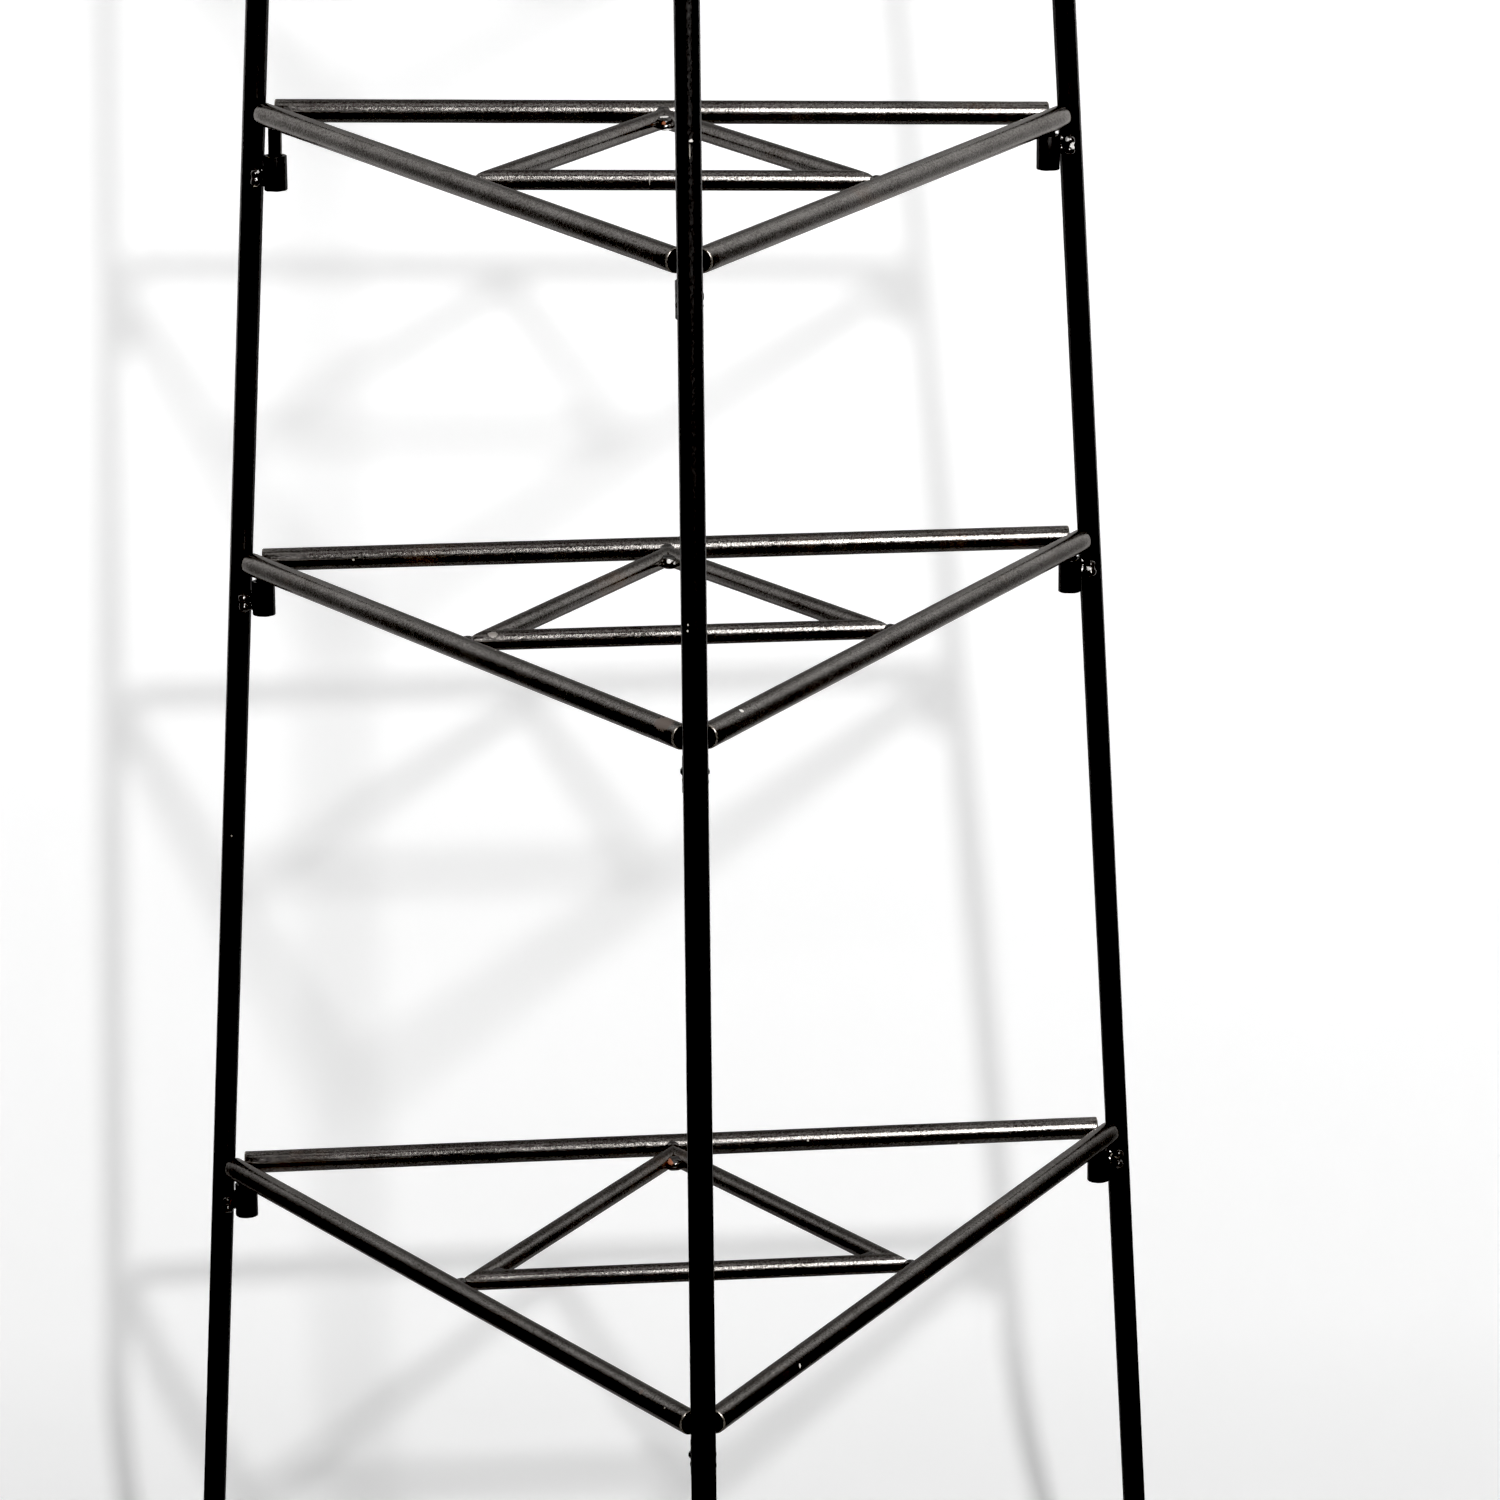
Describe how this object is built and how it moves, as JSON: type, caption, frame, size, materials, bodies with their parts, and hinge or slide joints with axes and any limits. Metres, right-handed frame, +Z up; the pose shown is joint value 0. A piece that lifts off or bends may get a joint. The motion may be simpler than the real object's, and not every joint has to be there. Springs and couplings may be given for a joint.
{
  "type": "tiered tripod stand",
  "caption": "Knock-down display stand of black round steel bar: leaning legs carry open triangular shelves whose corner pins drop into sleeves welded to the legs.",
  "frame": {"origin": "on the floor, at the centre of the box around the three feet", "axes": "+Z up; -Y towards the front leg; +X to the right leg's side, seen from the front"},
  "size_m": [0.5334, 0.4636, 1.1793],
  "materials": {
    "leg_paint": "semi-gloss black paint",
    "shelf_paint": "worn satin black paint",
    "weld_metal": "lumpy weld bead, thin paint, brown heat tint"
  },
  "bodies": {
    "frame": {"leg_front": "leg_paint", "leg_right": "leg_paint", "leg_left": "leg_paint", "sleeve_welds_front": "weld_metal", "sleeve_welds_right": "weld_metal", "sleeve_welds_left": "weld_metal", "lower_sleeve_front": "leg_paint", "lower_sleeve_right": "leg_paint", "lower_sleeve_left": "leg_paint", "middle_sleeve_front": "leg_paint", "middle_sleeve_right": "leg_paint", "middle_sleeve_left": "leg_paint", "upper_sleeve_front": "leg_paint", "upper_sleeve_right": "leg_paint", "upper_sleeve_left": "leg_paint", "top_sleeve_front": "leg_paint", "top_sleeve_right": "leg_paint", "top_sleeve_left": "leg_paint"},
    "lower_shelf": {"lower_rail_rear": "shelf_paint", "lower_rail_left": "shelf_paint", "lower_rail_right": "shelf_paint", "lower_brace_front": "shelf_paint", "lower_brace_right": "shelf_paint", "lower_brace_left": "shelf_paint", "lower_pin_front": "shelf_paint", "lower_pin_right": "shelf_paint", "lower_pin_left": "shelf_paint", "lower_shelf_welds": "weld_metal"},
    "middle_shelf": {"middle_rail_rear": "shelf_paint", "middle_rail_left": "shelf_paint", "middle_rail_right": "shelf_paint", "middle_brace_front": "shelf_paint", "middle_brace_right": "shelf_paint", "middle_brace_left": "shelf_paint", "middle_pin_front": "shelf_paint", "middle_pin_right": "shelf_paint", "middle_pin_left": "shelf_paint", "middle_shelf_welds": "weld_metal"},
    "upper_shelf": {"upper_rail_rear": "shelf_paint", "upper_rail_left": "shelf_paint", "upper_rail_right": "shelf_paint", "upper_brace_front": "shelf_paint", "upper_brace_right": "shelf_paint", "upper_brace_left": "shelf_paint", "upper_pin_front": "shelf_paint", "upper_pin_right": "shelf_paint", "upper_pin_left": "shelf_paint", "upper_shelf_welds": "weld_metal"},
    "top_shelf": {"top_rail_rear": "shelf_paint", "top_rail_left": "shelf_paint", "top_rail_right": "shelf_paint", "top_brace_front": "shelf_paint", "top_brace_right": "shelf_paint", "top_brace_left": "shelf_paint", "top_pin_front": "shelf_paint", "top_pin_right": "shelf_paint", "top_pin_left": "shelf_paint", "top_shelf_welds": "weld_metal"}
  },
  "joints": [
    {"name": "lower_shelf_lift", "type": "slide", "parent": "frame", "child": "lower_shelf", "axis": [0, 0, 1], "range_m": [0, 0.02]},
    {"name": "middle_shelf_lift", "type": "slide", "parent": "frame", "child": "middle_shelf", "axis": [0, 0, 1], "range_m": [0, 0.02]},
    {"name": "upper_shelf_lift", "type": "slide", "parent": "frame", "child": "upper_shelf", "axis": [0, 0, 1], "range_m": [0, 0.02]},
    {"name": "top_shelf_lift", "type": "slide", "parent": "frame", "child": "top_shelf", "axis": [0, 0, 1], "range_m": [0, 0.02]}
  ]
}
